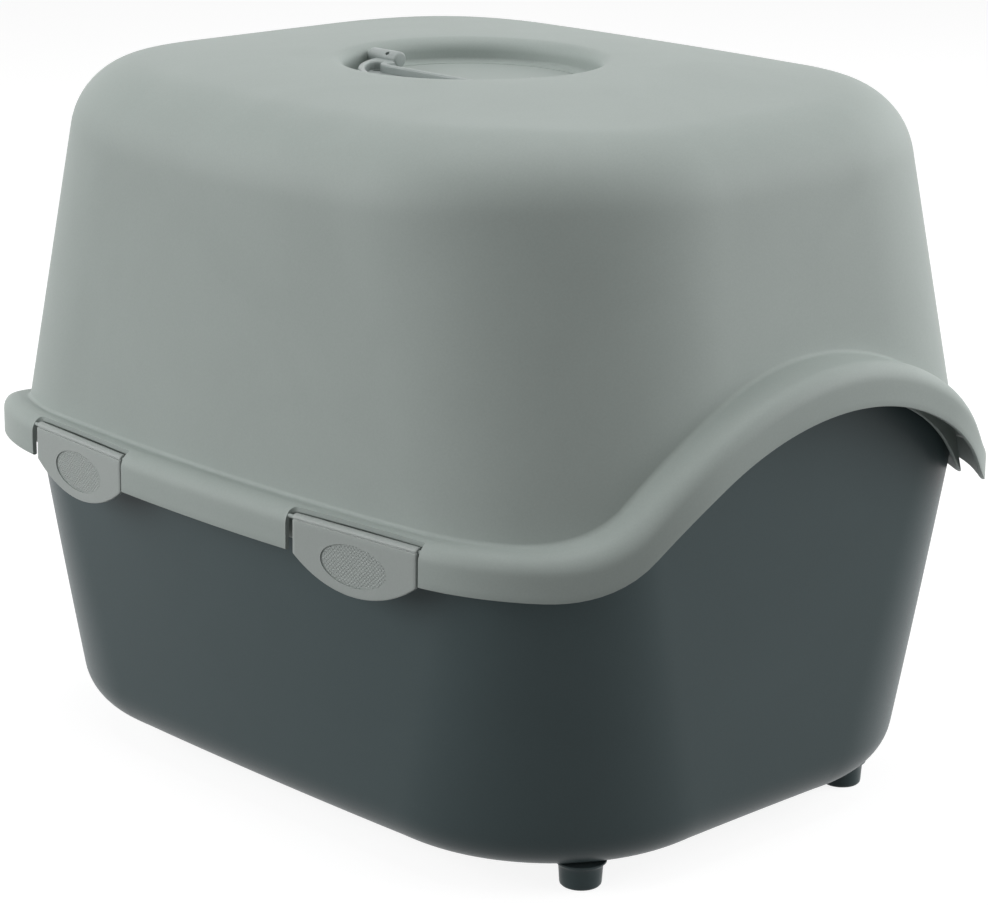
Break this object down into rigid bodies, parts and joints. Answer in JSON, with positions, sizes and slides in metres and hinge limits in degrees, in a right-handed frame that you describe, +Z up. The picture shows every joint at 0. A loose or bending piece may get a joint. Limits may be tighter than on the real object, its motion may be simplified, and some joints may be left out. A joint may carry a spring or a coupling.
{
  "type": "covered litter box",
  "caption": "Covered cat litter box: deep pan on feet, lift-off hood with an arched rear seam, hinged side clips, folding roof handle and swinging entry flap.",
  "frame": {"origin": "on the floor under the middle of the box", "axes": "+Y towards the rear end with the arched seam, -Y towards the entry, +Z up, +X towards the right-hand long side"},
  "size_m": [0.437, 0.56, 0.4165],
  "materials": {
    "pan_plastic": "satin moulded, anthracite",
    "hood_plastic": "satin moulded, grey-green",
    "clip_plastic": "satin moulded, light grey",
    "handle_plastic": "satin moulded, light grey",
    "flap_plastic": "translucent smoky"
  },
  "bodies": {
    "pan": {"pan": "pan_plastic"},
    "hood": {"hood": "hood_plastic"},
    "handle": {"handle": "handle_plastic"},
    "door_flap": {"door_flap": "flap_plastic"},
    "clip_right_front": {"clip_right_front": "clip_plastic"},
    "clip_right_rear": {"clip_right_rear": "clip_plastic"},
    "clip_left_front": {"clip_left_front": "clip_plastic"},
    "clip_left_rear": {"clip_left_rear": "clip_plastic"}
  },
  "joints": [
    {"name": "hood_lift", "type": "slide", "parent": "pan", "child": "hood", "axis": [0, 0, 1], "range_m": [0, 0.25]},
    {"name": "handle_fold", "type": "hinge", "parent": "hood", "child": "handle", "pos_m": [0.014, -0.0115, 0.4102], "axis": [0, -1, 0], "range_deg": [0, 95]},
    {"name": "flap_swing", "type": "hinge", "parent": "hood", "child": "door_flap", "pos_m": [0, -0.22689, 0.326], "axis": [1, 0, 0], "range_deg": [-60, 60]},
    {"name": "clip_right_front_hinge", "type": "hinge", "parent": "hood", "child": "clip_right_front", "pos_m": [0.21017, -0.11402, 0.2036], "axis": [-0.0825, -0.9966, 0], "range_deg": [-3.5, 115]},
    {"name": "clip_left_front_hinge", "type": "hinge", "parent": "hood", "child": "clip_left_front", "pos_m": [-0.21017, -0.11402, 0.2036], "axis": [-0.0825, 0.9966, 0], "range_deg": [-3.5, 115]},
    {"name": "clip_right_rear_hinge", "type": "hinge", "parent": "hood", "child": "clip_right_rear", "pos_m": [0.20948, 0.122, 0.2036], "axis": [0.0883, -0.9961, 0], "range_deg": [-3.5, 115]},
    {"name": "clip_left_rear_hinge", "type": "hinge", "parent": "hood", "child": "clip_left_rear", "pos_m": [-0.20948, 0.122, 0.2036], "axis": [0.0883, 0.9961, 0], "range_deg": [-3.5, 115]}
  ]
}
